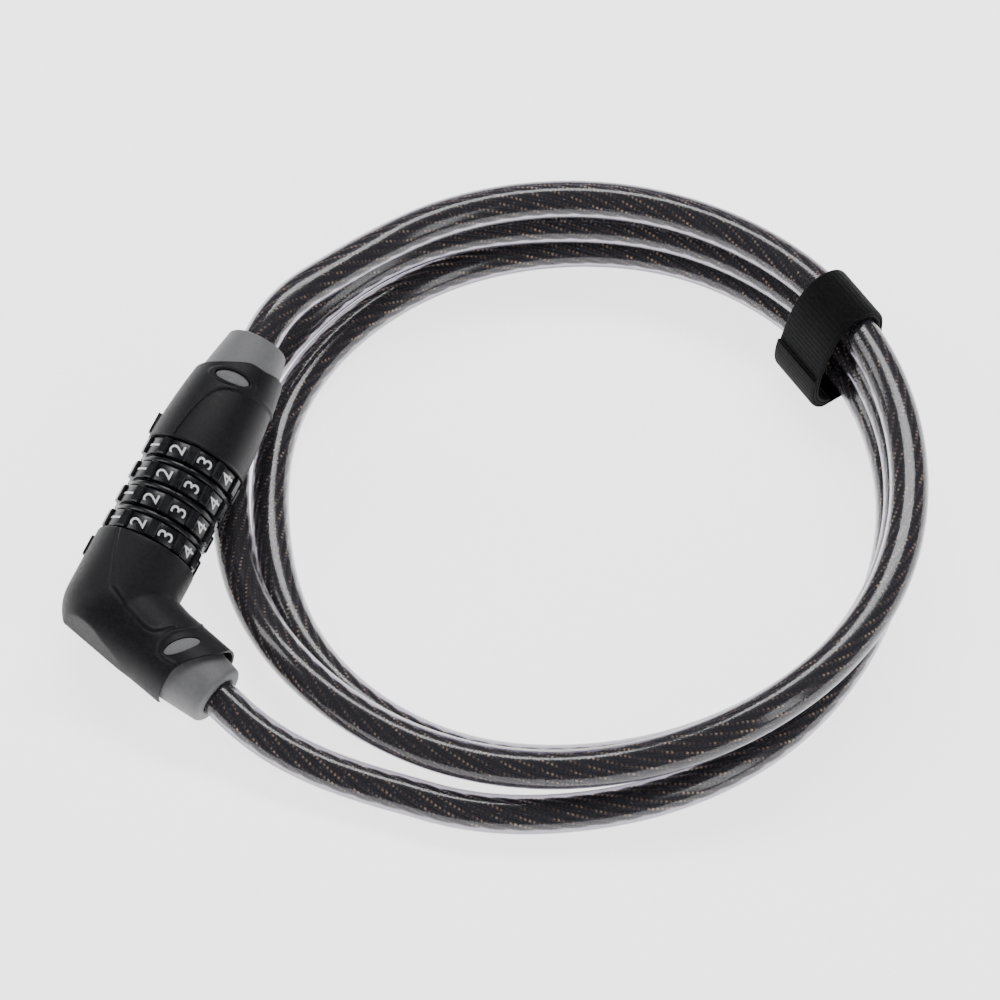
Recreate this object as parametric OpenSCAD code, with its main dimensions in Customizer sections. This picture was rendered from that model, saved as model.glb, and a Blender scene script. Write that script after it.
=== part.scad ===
// Combination cable lock: an elbow body with four number dials, a plug with a
// lugged bolt, and one coiled steel cable in a clear jacket held by a strap.
// The lock is drawn along +Y about its own axis, then tilted onto the coil.

/* [Dials] */
// Diameter over the finger ribs of a number ring
dial_d = 32.8; // [30:0.2:38]
// Distance from one dial to the next
dial_pitch = 8.8; // [7.5:0.05:10]
// Width of a number ring
dial_w = 5.9; // [5.4:0.1:6.6]
// Digits on each number ring
digits = 10; // [6:1:12]
// Height of the finger ribs
rib_h = 1.0; // [0.5:0.1:1.4]

/* [Lock body] */
// Outside diameter of both housings at the dials
body_d = 33; // [31:0.2:38]
// Distance from the dial stack to the centre of the bend
bend_y = 21; // [20:0.25:27]
// Angle that the cable arm turns away from the lock's axis
bend = 74; // [45:1:90]
// Length of the arm from the bend to the end of its cable sleeve
arm_l = 42.9; // [38:0.1:55]
// Outside diameter of the arm
arm_d = 26.8; // [25.8:0.2:30]
// Length of the plug housing in front of the dials
plug_l = 34; // [33:0.25:44]
// Length of sleeve that shows outside each housing
sleeve_out = 9.6; // [6:0.2:14]
// Diameter of a sleeve where the cable leaves it
sleeve_end_d = 20; // [17:0.5:23]

/* [Mechanism] */
// Diameter of the bolt
bolt_d = 8; // [7:0.2:9]
// Outside diameter of the slotted barrel
barrel_d = 17; // [16:0.2:18]
// Width of a bolt lug
lug_w = 3; // [2.4:0.1:3.4]
// Radius that the lugs reach from the axis
lug_r = 10.1; // [9.6:0.1:10.4]
// Running clearance between moving pieces
run_gap = 0.08; // [0.05:0.01:0.15]
// Clearance between pieces that are fixed together
fit_gap = 0.1; // [0.05:0.05:0.2]

/* [Cable and strap] */
// Diameter over the cable's jacket
cable_d = 12; // [8:0.5:12]
// Width of the hook-and-loop strap
strap_w = 20; // [14:1:24]
// Thickness of the wrapped strap
strap_t = 1.3; // [1:0.1:1.3]

/* [Hidden] */
$fn = 64;

// Dial stack: four dials with a spacer between neighbours
dial_count = 4;
side_gap = 0.25;
stack_half = (dial_count * dial_pitch - (dial_pitch - dial_w)) / 2;
spacer_w = dial_pitch - dial_w - 2 * side_gap;
body_r = body_d / 2;
dial_r = dial_d / 2;
digit_r = dial_r - rib_h;
rib_angle = 360 / digits;
index_angle = -10;
rib_w = 0.3 * dial_r * 2 * PI / digits;

// Mechanism radii, from the axis outwards
bolt_r = bolt_d / 2;
bore_r = bolt_r + run_gap;
barrel_r = barrel_d / 2;
code_bore_r = barrel_r + run_gap;
pocket_r = lug_r + 0.4;
code_r = pocket_r + 1.5;
flange_w = 2;
lug_gap = 0.9;
lug_l = dial_w - flange_w - 2 * lug_gap;
ball_r = 0.8;
gate_w = lug_w + 0.8;
slot_w = lug_w + 0.2;

// Lock body, measured along the axis from the middle of the dial stack
face_y = stack_half + side_gap + 0.1;
elbow_y = -stack_half - bend_y;
ring_t = 1.4;
ring_r = code_r + 0.6;
barrel_y = elbow_y + 6.5;
pin_y = barrel_y + 2.4;
bore_y = barrel_y + 4.6;
tip_y = bore_y + 5.8;
coils = 4;
coil_pitch = 1.1;
plug_y = face_y + plug_l;
exit_y = plug_y + sleeve_out;
core_r = 11.3;
core_front_y = face_y + ring_t + 0.7;
core_back_y = core_front_y + 16;
sleeve_r = arm_d / 2 - 1.2;
ferrule_r = cable_d / 2 + 1.3;
ferrule_l = 9.5;
cable_bore_r = cable_d / 2 + fit_gap;
arm_core_l = 16;
arm_edge = arm_l - sleeve_out;

// How the lock lies: plug end up on the coil, arm rolled down towards the table
tilt = 10;
roll = 3;
lock_z = 24.5;
axis_dir = [0, cos(tilt), sin(tilt)];
side_dir = [cos(roll), sin(roll) * sin(tilt), -sin(roll) * cos(tilt)];
top_dir = cross(side_dir, axis_dir);
function place(p) = [0, 0, lock_z] + p.x * side_dir + p.y * axis_dir + p.z * top_dir;
function arm_point(l) = place([l * sin(bend), elbow_y - l * cos(bend), 0]);

// Coil: centre, first angle, then the radius and height of the cable's centre
// line at every twelfth of a turn as the loops climb over one another
coil_x = 107;
coil_y = 64;
coil_from = 270;
coil_step = 30;
coil_stations = [
    [113, 6], [106.3, 6], [102.6, 6], [100.4, 6.6], [101.3, 8], [102, 8.3], [102, 6.8], [99.8, 6],
    [98.8, 6], [98, 6], [94.6, 6], [95.9, 6], [94, 6], [91.6, 8.2], [97.4, 17.7], [101.4, 18.8],
    [102.8, 20.1], [102.6, 20.4], [102, 19], [101.4, 18.1], [107.2, 15], [110.8, 7.1], [106.7, 7.2],
    [105.3, 15.5], [101.3, 16], [99, 18.8], [102.6, 28.8], [104.4, 31], [103.4, 32.2],
    [102.8, 32.5], [102.3, 31.2], [102, 31], [102.4, 32.2]];
strap_angle = 60;
turns_to_strap = 2;
strap_gap = 1;
strap_shift = 0.45;

// Free cable between the arm and the coil, and between the coil and the plug
arm_points = [
    arm_point(arm_core_l - ferrule_l + 1), arm_point(arm_l / 2 + 6), arm_point(arm_l), [50.8, -51, 12.2],
    [63, -53, 9.8], [77, -52.8, 7.2], [91, -51.4, 6.1]];
plug_points = [
    [7, 91, 35.7], [2.5, 80, 36.9], place([0, exit_y + 9, 0]), place([0, exit_y, 0]),
    place([0, exit_y - 12, 0]), place([0, core_back_y - ferrule_l + 1, 0])];

function catmull(a, b, c, d, t) =
    (2 * b + (c - a) * t + (2 * a - 5 * b + 4 * c - d) * t * t + (3 * b - a - 3 * c + d) * t * t * t) / 2;
function clamp_index(list, i) = list[min(max(i, 0), len(list) - 1)];
function between(list, k) = let (i = floor(k))
    catmull(clamp_index(list, i - 1), clamp_index(list, i), clamp_index(list, i + 1),
            clamp_index(list, i + 2), k - i);
function coil_point(angle) = let (s = between(coil_stations, (angle - coil_from) / coil_step))
    [coil_x + s[0] * cos(angle), coil_y + s[0] * sin(angle), s[1]];
coil_to = coil_from + coil_step * (len(coil_stations) - 1);
lead_from = strap_angle + 360 * (turns_to_strap + 1);
cable_route = concat(arm_points, [for (a = [coil_from : 15 : lead_from - 8]) coil_point(a)],
                     [coil_point(lead_from - 2.5), coil_point(lead_from - 0.2)]);
lead_route = concat([coil_point(lead_from + 0.2), coil_point(lead_from + 2.5)],
                    [for (a = [lead_from + 12 : 15 : coil_to]) coil_point(a)], plug_points);

// Sweep: a closed tube along a list of points
function unit(v) = v / norm(v);
function tangent(p, i) = unit(clamp_index(p, i + 1) - clamp_index(p, i - 1));
function ring_at(p, i, r, sides, up) =
    let (t = tangent(p, i), a = unit(cross(t, up)), b = cross(a, t))
    [for (k = [0 : sides - 1]) p[i] + r * (cos(360 * k / sides) * a + sin(360 * k / sides) * b)];
module tube(p, r, sides = 12, up = [0, 0, 1]) {
    rings = len(p);
    points = [for (i = [0 : rings - 1]) each ring_at(p, i, r, sides, up)];
    walls = [for (i = [0 : rings - 2], k = [0 : sides - 1])
        let (n = (k + 1) % sides)
        each [[i * sides + k, i * sides + n, (i + 1) * sides + n],
              [i * sides + k, (i + 1) * sides + n, (i + 1) * sides + k]]];
    first = [for (k = [sides - 1 : -1 : 0]) k];
    last = [for (k = [0 : sides - 1]) (rings - 1) * sides + k];
    polyhedron(points = points, faces = concat([first], walls, [last]));
}

// Placing helpers
module lock_pose() translate([0, 0, lock_z]) rotate([tilt, 0, 0]) rotate([0, roll, 0]) children();
module along_y(y = 0) translate([0, y, 0]) rotate([-90, 0, 0]) children();
module arm_pose(l = 0) translate([0, elbow_y, 0]) rotate([0, 0, bend - 180]) along_y(l) children();
module disc(r, y0, y1) along_y(y0) cylinder(r = r, h = y1 - y0);
module lathe(outline) along_y() rotate_extrude() polygon(outline);
// A keyway on the index side, from the axis out to radius r
module keyway(r, w, y0, y1) translate([-r, y0, -w / 2]) cube([r, y1 - y0, w]);
// A window shaped like a lens: two arcs of radius r that meet at its tips
module lens(r, w, h) intersection() {
    translate([0, r - w / 2, 0]) cylinder(r = r, h = h);
    translate([0, w / 2 - r, 0]) cylinder(r = r, h = h);
}
function dial_y(n) = -stack_half + n * dial_pitch;

// Elbow body
module elbow_core_shape(gap) {
    disc(core_r + 1.2 + gap, elbow_y, -stack_half - 0.15 + 2 * gap);
    translate([0, elbow_y, 0]) sphere(r = core_r + 1.2 + gap);
    arm_pose() cylinder(r = core_r - 1 + gap, h = arm_core_l + gap);
}
module elbow_shape() {
    disc(body_r, elbow_y, -face_y);
    translate([0, elbow_y, 0]) sphere(r = body_r);
    arm_pose() cylinder(r1 = body_r - 0.4, r2 = arm_d / 2, h = 20);
    arm_pose() cylinder(r = arm_d / 2, h = arm_edge);
}
module elbow_housing() color([0.1, 0.1, 0.11]) lock_pose() difference() {
    elbow_shape();
    elbow_core_shape(fit_gap);
    arm_pose(arm_core_l - 1) cylinder(r = sleeve_r + fit_gap, h = arm_l);
    // flat facet on the outside of the bend
    translate([0, elbow_y, 0]) rotate([0, 0, bend - 90])
        translate([-40, -body_r - 10, -40]) cube([60, 10 + body_r - arm_d / 2 - 0.8, 80]);
    // window over the sleeve
    arm_pose(24) rotate([90, 0, 0]) lens(8.5, 5, 20);
}
module elbow_core() color([0.62, 0.63, 0.65]) lock_pose() difference() {
    elbow_core_shape(0);
    disc(barrel_r + fit_gap, barrel_y - fit_gap, 0);
    arm_pose(arm_core_l - ferrule_l) cylinder(r = ferrule_r + fit_gap, h = arm_l);
    cross_pin_hole(pin_y);
}
module cross_pin_hole(y) translate([0, y, -20]) cylinder(r = 1.25, h = 40);
module cross_pin(y, r) translate([0, y, -r]) cylinder(r = 1.2, h = 2 * r);
module elbow_pin() color([0.75, 0.75, 0.77]) lock_pose() cross_pin(pin_y, core_r + 1);
module elbow_sleeve() color([0.48, 0.48, 0.49]) lock_pose() arm_pose() difference() {
    union() {
        translate([0, 0, arm_core_l + 0.2]) cylinder(r = sleeve_r, h = arm_edge - arm_core_l);
        translate([0, 0, arm_edge]) cylinder(r1 = sleeve_r + 0.2, r2 = sleeve_end_d / 2, h = sleeve_out);
    }
    cylinder(r = cable_bore_r, h = arm_l + 1);
}
module ferrule() difference() {
    cylinder(r = ferrule_r, h = ferrule_l);
    translate([0, 0, 1]) cylinder(r = cable_bore_r, h = ferrule_l);
}
module elbow_ferrule() color([0.72, 0.6, 0.36]) lock_pose() arm_pose(arm_core_l - ferrule_l) ferrule();

// Barrel with the lug slot, the spacers on it and the ring that keeps the dials on
module barrel() color([0.7, 0.71, 0.73]) lock_pose() difference() {
    disc(barrel_r, barrel_y, face_y + ring_t);
    disc(bore_r, bore_y, face_y + ring_t + 1);
    keyway(barrel_r + 1, slot_w, dial_y(0) + lug_gap / 2, face_y + ring_t + 1);
    cross_pin_hole(pin_y);
    for (n = [0 : dial_count - 1]) detent_pose(n) cylinder(r = ball_r + 0.1, h = barrel_r);
}
module detent_pose(n) translate([bolt_r + 1.1, dial_y(n) + dial_w - flange_w / 2, 0]) rotate([0, 90, 0]) children();
module detent_balls() color([0.85, 0.85, 0.87]) lock_pose()
    for (n = [0 : dial_count - 1]) detent_pose(n) translate([0, 0, barrel_r - bolt_r - 2]) sphere(r = ball_r);
module detent_springs() color([0.6, 0.6, 0.62]) lock_pose()
    for (n = [0 : dial_count - 1]) detent_pose(n) translate([0, 0, 0.02]) difference() {
        cylinder(r = ball_r - 0.05, h = barrel_r - bolt_r - 2.8);
        translate([0, 0, -1]) cylinder(r = ball_r - 0.35, h = 9);
    }
module spacer(n) color([0.08, 0.08, 0.09]) lock_pose() difference() {
    disc(digit_r - 0.5, dial_y(n) + dial_w + side_gap, dial_y(n) + dial_w + side_gap + spacer_w);
    disc(barrel_r + 0.02, -face_y, face_y);
    keyway(pocket_r, gate_w, -face_y, face_y);
}
module spacer_1() spacer(0);
module spacer_2() spacer(1);
module spacer_3() spacer(2);
module end_ring() color([0.66, 0.67, 0.69]) lock_pose() difference() {
    disc(ring_r - 0.3, face_y, face_y + ring_t);
    disc(barrel_r + 0.02, 0, face_y + 5);
    keyway(pocket_r, gate_w, 0, face_y + 5);
}
module ejector_spring() color([0.6, 0.6, 0.62]) lock_pose()
    tube([for (a = [0 : 30 : 360 * coils])
        [(bolt_r - 0.9) * cos(a), bore_y + 0.6 + a / 360 * coil_pitch, (bolt_r - 0.9) * sin(a)]],
        0.45, 8, [0, 1, 0]);

// One dial: the number ring outside, the code ring with its gate inside
module rib(n) rotate([0, rib_angle * (n + 0.5), 0]) translate([-rib_w / 2, 0, 0])
    translate([0, 0, digit_r - 1]) cube([rib_w, dial_w, rib_h + 1 - 0.1]);
module number_ring(n) color([0.13, 0.13, 0.15]) lock_pose() translate([0, dial_y(n), 0])
    intersection() {
        difference() {
            union() {
                disc(digit_r, 0, dial_w);
                rotate([0, index_angle, 0]) for (k = [0 : digits - 1]) rib(k);
            }
            disc(code_r + fit_gap, -1, dial_w + 1);
        }
        disc(dial_r, 0, dial_w);
    }
module code_ring(n) color([0.74, 0.66, 0.42]) lock_pose() translate([0, dial_y(n), 0]) difference() {
    disc(code_r, 0, dial_w);
    disc(code_bore_r, -1, dial_w + 1);
    disc(pocket_r, -1, dial_w - flange_w);
    keyway(pocket_r, gate_w, -1, dial_w + 1);
}
module number_ring_1() number_ring(0);
module number_ring_2() number_ring(1);
module number_ring_3() number_ring(2);
module number_ring_4() number_ring(3);
module code_ring_1() code_ring(0);
module code_ring_2() code_ring(1);
module code_ring_3() code_ring(2);
module code_ring_4() code_ring(3);

// Plug
plug_outline = concat(
    [[0, face_y]], [[body_r - 0.3, face_y], [body_r, face_y + 0.4]],
    [for (k = [1 : 10]) let (u = k / 10) [body_r - (body_r - arm_d / 2 + 0.5) * pow(u, 1.7), face_y + plug_l * u]],
    [[0, plug_y]]);
module plug_housing() color([0.1, 0.1, 0.11]) lock_pose() difference() {
    lathe(plug_outline);
    disc(ring_r, 0, face_y + ring_t + 0.3);
    disc(core_r + fit_gap, 0, core_back_y + fit_gap);
    disc(sleeve_r + fit_gap - 0.6, core_back_y, plug_y + 1);
    translate([0, plug_y - 5, 0]) lens(8.5, 5, 20);
}
module plug_core() color([0.62, 0.63, 0.65]) lock_pose() difference() {
    disc(core_r, core_front_y, core_back_y);
    disc(bolt_r + fit_gap, 0, core_front_y + 5.6);
    disc(ferrule_r + fit_gap, core_back_y - ferrule_l, core_back_y + 1);
    cross_pin_hole(core_front_y + 2.6);
}
module plug_pin() color([0.75, 0.75, 0.77]) lock_pose() cross_pin(core_front_y + 2.6, core_r - 0.2);
module plug_sleeve() color([0.48, 0.48, 0.49]) lock_pose() difference() {
    union() {
        disc(sleeve_r - 0.6, core_back_y + 0.2, plug_y);
        along_y(plug_y) cylinder(r1 = sleeve_r + 0.1, r2 = sleeve_end_d / 2 - 0.2, h = sleeve_out);
    }
    disc(cable_bore_r, 0, exit_y + 1);
}
module plug_ferrule() color([0.72, 0.6, 0.36]) lock_pose()
    along_y(core_back_y - ferrule_l) ferrule();
module bolt() color([0.8, 0.8, 0.82]) lock_pose() {
    difference() {
        union() {
            disc(bolt_r, tip_y + 1.1, core_front_y + 5.5);
            along_y(tip_y) cylinder(r1 = bolt_r - 1.1, r2 = bolt_r, h = 1.1);
            for (n = [0 : dial_count - 1])
                keyway(lug_r, lug_w, dial_y(n) + lug_gap, dial_y(n) + lug_gap + lug_l);
        }
        cross_pin_hole(core_front_y + 2.6);
    }
}

// Cable and strap
module cable() color([0.16, 0.15, 0.17]) tube(cable_route, cable_d / 2);
module cable_lead() color([0.16, 0.15, 0.17]) tube(lead_route, cable_d / 2);
function strap_at(turn) = coil_point(strap_angle + 360 * turn);
module strap_section(r, w) {
    low = strap_at(1);
    high = strap_at(turns_to_strap + 1);
    hull() for (p = [low, high])
        translate(p) rotate([0, 0, strap_angle]) translate([-strap_shift, -w / 2, 0]) rotate([-90, 0, 0])
            cylinder(r = r, h = w);
}
module strap() color([0.05, 0.05, 0.05]) difference() {
    strap_section(cable_d / 2 + strap_gap + strap_t, strap_w);
    strap_section(cable_d / 2 + strap_gap, strap_w + 2);
}

elbow_housing();
elbow_core();
elbow_pin();
elbow_sleeve();
elbow_ferrule();
barrel();
detent_balls();
detent_springs();
spacer_1();
spacer_2();
spacer_3();
end_ring();
ejector_spring();
number_ring_1();
number_ring_2();
number_ring_3();
number_ring_4();
code_ring_1();
code_ring_2();
code_ring_3();
code_ring_4();
plug_housing();
plug_core();
plug_pin();
plug_sleeve();
plug_ferrule();
bolt();
cable();
cable_lead();
strap();
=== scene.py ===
# %% [markdown]
# # A four-dial combination cable lock
# The lock has an elbow body with four number dials, a plug that pulls out of it, and one steel
# cable in a smoked clear jacket, coiled and held by a hook-and-loop strap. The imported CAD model
# gives the size and the place of every piece. The cells below give each visible piece its real
# surface, starting with the camera and the cable, because the cable fills most of the view.

# %% Tools, the frame and its box
import math

import bmesh
import bpy
import numpy as np
from mathutils import Matrix, Vector


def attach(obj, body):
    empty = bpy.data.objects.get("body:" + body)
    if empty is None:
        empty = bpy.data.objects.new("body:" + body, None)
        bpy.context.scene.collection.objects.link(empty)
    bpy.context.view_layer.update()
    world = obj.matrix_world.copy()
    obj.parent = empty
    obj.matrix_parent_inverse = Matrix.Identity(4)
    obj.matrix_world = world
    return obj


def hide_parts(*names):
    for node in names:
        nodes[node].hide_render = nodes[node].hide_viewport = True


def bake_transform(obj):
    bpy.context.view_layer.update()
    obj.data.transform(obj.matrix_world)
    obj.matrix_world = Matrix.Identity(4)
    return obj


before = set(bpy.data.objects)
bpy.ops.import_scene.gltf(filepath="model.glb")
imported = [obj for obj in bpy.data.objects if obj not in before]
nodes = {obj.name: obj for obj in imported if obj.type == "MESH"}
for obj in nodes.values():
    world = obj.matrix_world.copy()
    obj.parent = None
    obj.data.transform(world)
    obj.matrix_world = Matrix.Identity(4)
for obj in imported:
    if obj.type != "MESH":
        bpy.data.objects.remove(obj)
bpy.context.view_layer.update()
MM = 0.001

# %% [markdown]
# A long lens from well above keeps the coil nearly free of perspective, as in a catalogue
# picture. The camera is placed by the angle round the object and the height above the table,
# so that the view can be read from the numbers.

# %% Camera
camera_azimuth = math.radians(26)
camera_height = math.radians(58)
camera_distance = 1.4
camera_aim = Vector((0.0867, 0.0540, 0.012))

back = Vector((
    math.sin(camera_azimuth) * math.cos(camera_height),
    -math.cos(camera_azimuth) * math.cos(camera_height),
    math.sin(camera_height),
))
camera_data = bpy.data.cameras.new("camera")
camera_data.lens = 161.3
camera_data.sensor_width = 36
camera = bpy.data.objects.new("camera", camera_data)
camera.location = camera_aim + back * camera_distance
camera.rotation_mode = "QUATERNION"
camera.rotation_quaternion = (-back).to_track_quat("-Z", "Y")
bpy.context.scene.collection.objects.link(camera)
bpy.context.scene.camera = camera
print("camera at", [round(v, 3) for v in camera.location])

# %% [markdown]
# The lock's own frame has its origin in the middle of the dials, Y along the bolt towards the
# plug and Z out of the top. The whole lock leans with its plug end up on the coil, so every
# piece of it is drawn in that frame, in millimetres, and one matrix then places it.

# %% The lock's frame and its main sizes, in millimetres
LOCK = (
    Matrix.Translation((0, 0, 24.5 * MM))
    @ Matrix.Rotation(math.radians(10), 4, "X")
    @ Matrix.Rotation(math.radians(3), 4, "Y")
    @ Matrix.Scale(MM, 4)
)
BODY_R = 16.5
DIAL_R = 16.4
DIGIT_R = 15.4
DIAL_PITCH = 8.8
DIAL_W = 5.9
STACK_HALF = 16.15
FACE_Y = 16.5
PLUG_Y = 50.5
EXIT_Y = 60.1
ELBOW_Y = -37.15
BEND = math.radians(74)
ARM_END = 42.9
ARM_R = 13.4


def in_world(point):
    """A point of the lock's own frame, in metres in the row frame."""
    return LOCK @ Vector(point)


print("plug mouth at", [round(v / MM, 1) for v in in_world((0, EXIT_Y, 0))], "mm")

# %% [markdown]
# The cable is stiff, so it lies in smooth round turns that climb over one another. Its centre
# line comes from a radius and a height at every twelfth of a turn, joined by a smooth curve,
# with a few points given where it leaves the arm and where it rises into the plug.

# %% The cable's route
COIL_CENTRE = np.array([107, 64]) * MM
COIL_FROM = 270
COIL_STEP = 30
COIL_STATIONS = np.array([
    [113, 6], [106.3, 6], [102.6, 6], [100.4, 6.6], [101.3, 8], [102, 8.3], [102, 6.8], [99.8, 6],
    [98.8, 6], [98, 6], [94.6, 6], [95.9, 6], [94, 6], [91.6, 8.2], [97.4, 17.7], [101.4, 18.8],
    [102.8, 20.1], [102.6, 20.4], [102, 19], [101.4, 18.1], [107.2, 15], [110.8, 7.1], [106.7, 7.2],
    [105.3, 15.5], [101.3, 16], [99, 18.8], [102.6, 28.8], [104.4, 31], [103.4, 32.2],
    [102.8, 32.5], [102.3, 31.2], [102, 31], [102.4, 32.2],
]) * MM
STRAP_ANGLE = 60
LEAD_FROM = STRAP_ANGLE + 3 * 360
COIL_TO = COIL_FROM + COIL_STEP * (len(COIL_STATIONS) - 1)
CABLE_D = 12 * MM
CABLE_R = CABLE_D / 2
STEP = 2 * MM


def arm_point(length):
    return in_world((length * math.sin(BEND), ELBOW_Y - length * math.cos(BEND), 0))


ARM_POINTS = [arm_point(7.5), arm_point(27.45), arm_point(ARM_END)] + [
    Vector(p) * MM for p in ((50.8, -51, 12.2), (63, -53, 9.8), (77, -52.8, 7.2), (91, -51.4, 6.1))
]
PLUG_POINTS = [Vector(p) * MM for p in ((7, 91, 35.7), (2.5, 80, 36.9))] + [
    in_world((0, y, 0)) for y in (69.1, EXIT_Y, 48.1, 26.1)
]


def curve(a, b, c, d, t):
    """A smooth curve from b to c, shaped by their neighbours a and d, t going from 0 to 1."""
    return (2 * b + (c - a) * t + (2 * a - 5 * b + 4 * c - d) * t**2
            + (3 * b - a - 3 * c + d) * t**3) / 2


def between(rows, k):
    """Smooth curve through the rows of a list, k being the row number."""
    i = math.floor(k)
    near = (np.array(rows[min(max(j, 0), len(rows) - 1)]) for j in range(i - 1, i + 3))
    return curve(*near, k - i)


def coil_point(angle):
    radius, height = between(COIL_STATIONS, (angle - COIL_FROM) / COIL_STEP)
    turn = math.radians(angle)
    return np.array([COIL_CENTRE[0] + radius * math.cos(turn),
                     COIL_CENTRE[1] + radius * math.sin(turn), height])


def run_along(points):
    """The length of a line from its first point to each of its points."""
    return np.r_[0, np.cumsum(np.linalg.norm(np.diff(points, axis=0), axis=1))]


def even_steps(points, step):
    """The same line with its points a fixed step apart."""
    points = np.array(points, float)
    run = run_along(points)
    at = np.linspace(0, run[-1], int(round(run[-1] / step)) + 1)
    return np.stack([np.interp(at, run, points[:, k]) for k in range(3)], axis=1)


def eased(points, passes):
    """Rounds off small kinks, with both ends kept."""
    points = points.copy()
    for _ in range(passes):
        points[1:-1] = points[1:-1] / 2 + (points[:-2] + points[2:]) / 4
    return points


def through(rows, per_row):
    return [between(rows, k / per_row) for k in range(per_row * (len(rows) - 1) + 1)]


# The two ends reach over the coil by two rows, which shape the join and are then cut away.
PER_ROW = 8
COIL_DEGREES = 2.5
head = ARM_POINTS + [coil_point(COIL_FROM + a) for a in (0, 15, 30)]
tail = [coil_point(COIL_TO + a) for a in (-30, -15, 0)] + PLUG_POINTS
route = np.array(
    through(head, PER_ROW)[:-2 * PER_ROW]
    + [coil_point(a) for a in np.arange(COIL_FROM, COIL_TO + 0.1, COIL_DEGREES)]
    + through(tail, PER_ROW)[2 * PER_ROW + 1:]
)
route = eased(even_steps(route, STEP), 9)
split = int(np.argmin(np.linalg.norm(route - coil_point(LEAD_FROM), axis=1)))
print("cable", round(len(route) * STEP / MM), "mm long, strap at", round(split * STEP / MM), "mm")

# %% [markdown]
# A tube needs a ring of points square to the line at every step. Turning each ring's frame no
# more than the line itself turns keeps the tube free of twist, so the strands inside can then
# be given exactly the twist that they have: one left-hand turn every 64 mm.

# %% Tubes along a line
def directions(line):
    """The way a line runs at each of its points."""
    ahead = np.gradient(line, axis=0)
    return ahead / np.linalg.norm(ahead, axis=1)[:, None]


def travelling_frames(line):
    """Two directions square to the line at each point, carried along without twist."""
    ahead = directions(line)
    side = np.cross(ahead[0], (0, 0, 1))
    sides = []
    for direction in ahead:
        side = side - direction * side.dot(direction)
        side /= np.linalg.norm(side)
        sides.append(side)
    sides = np.array(sides)
    return sides, np.cross(ahead, sides)


def mesh_object(name, points, faces, smooth=True):
    mesh = bpy.data.meshes.new(name)
    mesh.from_pydata([tuple(p) for p in points], [], faces)
    mesh.validate()
    if smooth:
        mesh.shade_smooth()
    made = bpy.data.objects.new(name, mesh)
    bpy.context.scene.collection.objects.link(made)
    return made


def tube_faces(rings, around, first=0):
    walls = []
    for i in range(rings - 1):
        for k in range(around):
            n = (k + 1) % around
            a = first + i * around
            walls.append((a + k, a + n, a + around + n, a + around + k))
    walls.append(tuple(first + k for k in reversed(range(around))))
    walls.append(tuple(first + (rings - 1) * around + k for k in range(around)))
    return walls


def ring_points(line, sides, ups, radius, around):
    turn = np.arange(around) * 2 * math.pi / around
    return (line[:, None] + radius * (np.cos(turn)[None, :, None] * sides[:, None]
                                      + np.sin(turn)[None, :, None] * ups[:, None])).reshape(-1, 3)


def length_map(made, rings, around):
    """A UV map: U is 0 on a ring's first point and 1 opposite it, V is the length in metres."""
    layer = made.data.uv_layers.new(name="along")
    for loop in made.data.loops:
        local = loop.vertex_index % (rings * around)
        turn = local % around / around
        layer.data[loop.index].uv = (2 * min(turn, 1 - turn), local // around * STEP)


def jacket(name, line, around=28):
    sides, ups = travelling_frames(line)
    made = mesh_object(name, ring_points(line, sides, ups, CABLE_R, around),
                       tube_faces(len(line), around))
    length_map(made, len(line), around)
    return made


def strands(name, line, count, core_d, lay, from_length, around=8):
    """Round strands laid side by side round a straight centre, as in a wire rope.
    The first point of every ring looks straight out, so U is 0 along a strand's crown."""
    sides, ups = travelling_frames(line)
    share = math.sin(math.pi / count)
    strand_r = core_d / 2 * share / (1 + share)
    centre_r = core_d / 2 - strand_r
    points, faces = [], []
    length = from_length + np.arange(len(line)) * STEP
    for s in range(count):
        turn = length / lay * 2 * math.pi + s * 2 * math.pi / count
        outward = np.cos(turn)[:, None] * sides + np.sin(turn)[:, None] * ups
        centre = line + centre_r * outward
        ahead = directions(centre)
        faces += tube_faces(len(line), around, len(points) * len(line) * around)
        points.append(ring_points(centre, outward, np.cross(ahead, outward), strand_r, around))
    made = mesh_object(name, np.concatenate(points), faces)
    length_map(made, len(line), around)
    return made


cable_line = route[:split]
lead_line = route[split:]
cable_jacket = jacket("cable_jacket", cable_line)
lead_jacket = jacket("lead_jacket", lead_line)
ROPE = dict(count=8, core_d=6.6 * MM, lay=64 * MM)
cable_rope = strands("cable_rope", cable_line[1:-1], from_length=0, **ROPE)
lead_rope = strands("lead_rope", lead_line[1:-1], from_length=split * STEP, **ROPE)
print("jacket faces", len(cable_jacket.data.polygons), "rope faces", len(cable_rope.data.polygons))

# %% [markdown]
# Colours come from small node materials. Each one mixes two close tones with noise at the scale
# of the real surface and bends the normal a little, so that no surface is one flat colour.

# %% Material helpers
def material(name, colour, roughness, metallic=0.0, **sockets):
    made = bpy.data.materials.new(name)
    made.use_nodes = True
    shader = made.node_tree.nodes["Principled BSDF"]
    shader.inputs["Base Color"].default_value = (*colour, 1)
    shader.inputs["Roughness"].default_value = roughness
    shader.inputs["Metallic"].default_value = metallic
    for socket, value in sockets.items():
        shader.inputs[socket.replace("_", " ")].default_value = value
    return made


def node(made, kind, links=(), **inputs):
    """Adds a node to a material or a tree, sets its inputs by name, and links (input, output)
    pairs in the order given."""
    tree = getattr(made, "node_tree", made)
    added = tree.nodes.new(kind)
    for key, value in inputs.items():
        if hasattr(added, key):
            setattr(added, key, value)
        else:
            added.inputs[key.replace("_", " ")].default_value = value
    for target, source in links:
        tree.links.new(source, added.inputs[target])
    return added


def shader_link(made, socket, source):
    shader = made.node_tree.nodes["Principled BSDF"]
    made.node_tree.links.new(source, shader.inputs[socket])


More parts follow.
